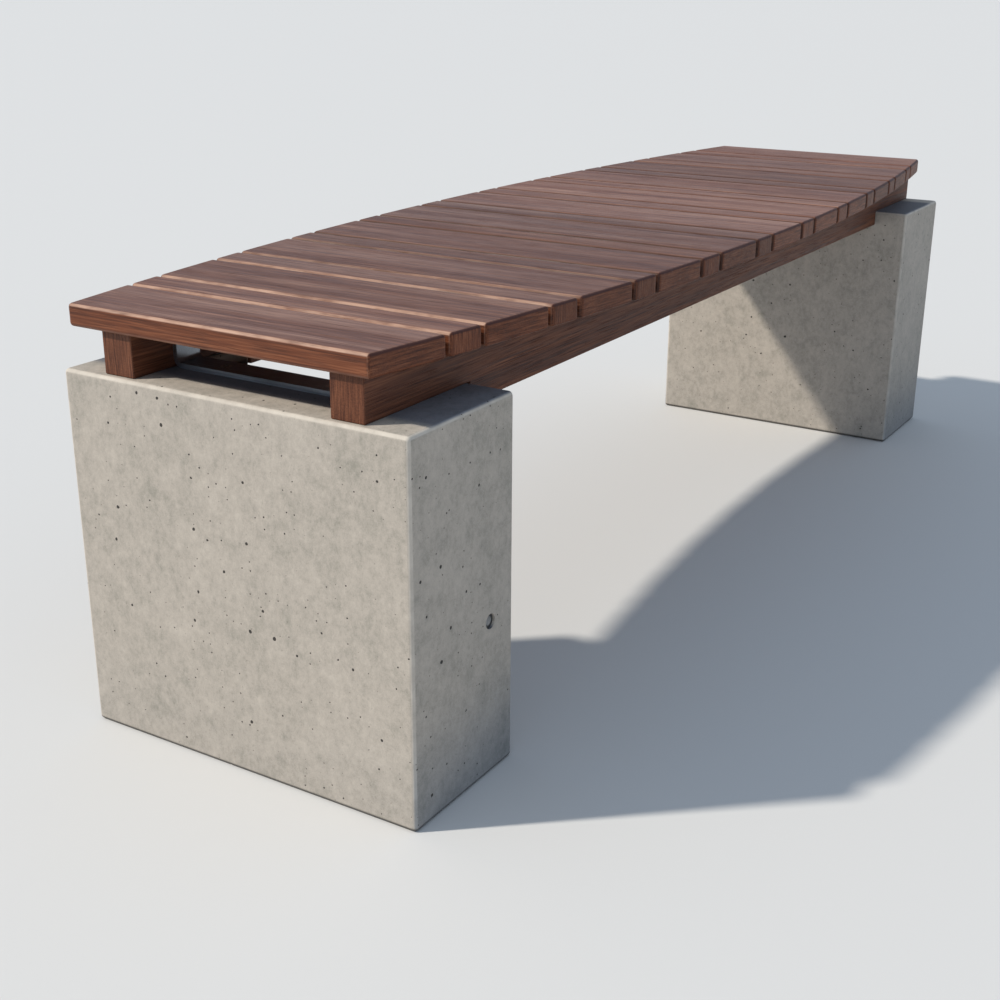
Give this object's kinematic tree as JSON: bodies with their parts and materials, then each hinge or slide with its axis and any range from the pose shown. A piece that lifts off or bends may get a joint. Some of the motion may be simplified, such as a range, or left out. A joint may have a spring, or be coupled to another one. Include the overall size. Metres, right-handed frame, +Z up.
{
  "type": "garden bench",
  "caption": "Backless garden bench: slatted hardwood seat with bowed long sides on precast concrete legs, its notched bearers tied down by folded steel straps.",
  "frame": {"origin": "on the floor, under the middle of the seat", "axes": "+X along the seat, +Y towards the rear long side, +Z up"},
  "size_m": [1.575, 0.498, 0.457],
  "materials": {
    "concrete": "smooth cast concrete with small air holes",
    "slat_timber": "oiled hardwood, eased edges",
    "bearer_timber": "oiled hardwood",
    "strap_steel": "stainless, satin",
    "screw_steel": "stainless",
    "socket_steel": "zinc plated",
    "plug_plastic": "moulded"
  },
  "bodies": {
    "root": {"leg_left": "concrete", "leg_right": "concrete", "bearer_front": "bearer_timber", "bearer_rear": "bearer_timber", "wide_slat_01": "slat_timber", "narrow_slat_01": "slat_timber", "wide_slat_02": "slat_timber", "narrow_slat_02": "slat_timber", "wide_slat_03": "slat_timber", "narrow_slat_03": "slat_timber", "wide_slat_04": "slat_timber", "narrow_slat_04": "slat_timber", "wide_slat_05": "slat_timber", "narrow_slat_05": "slat_timber", "wide_slat_06": "slat_timber", "narrow_slat_06": "slat_timber", "wide_slat_07": "slat_timber", "narrow_slat_07": "slat_timber", "wide_slat_08": "slat_timber", "narrow_slat_08": "slat_timber", "wide_slat_09": "slat_timber", "narrow_slat_09": "slat_timber", "wide_slat_10": "slat_timber", "narrow_slat_10": "slat_timber", "wide_slat_11": "slat_timber", "strap_left": "strap_steel", "strap_right": "strap_steel", "anchor_screws": "screw_steel", "anchor_sockets": "socket_steel", "tab_screws": "screw_steel", "slat_screws": "screw_steel", "lifting_ferrules": "socket_steel", "lifting_plugs": "plug_plastic"}
  },
  "joints": []
}
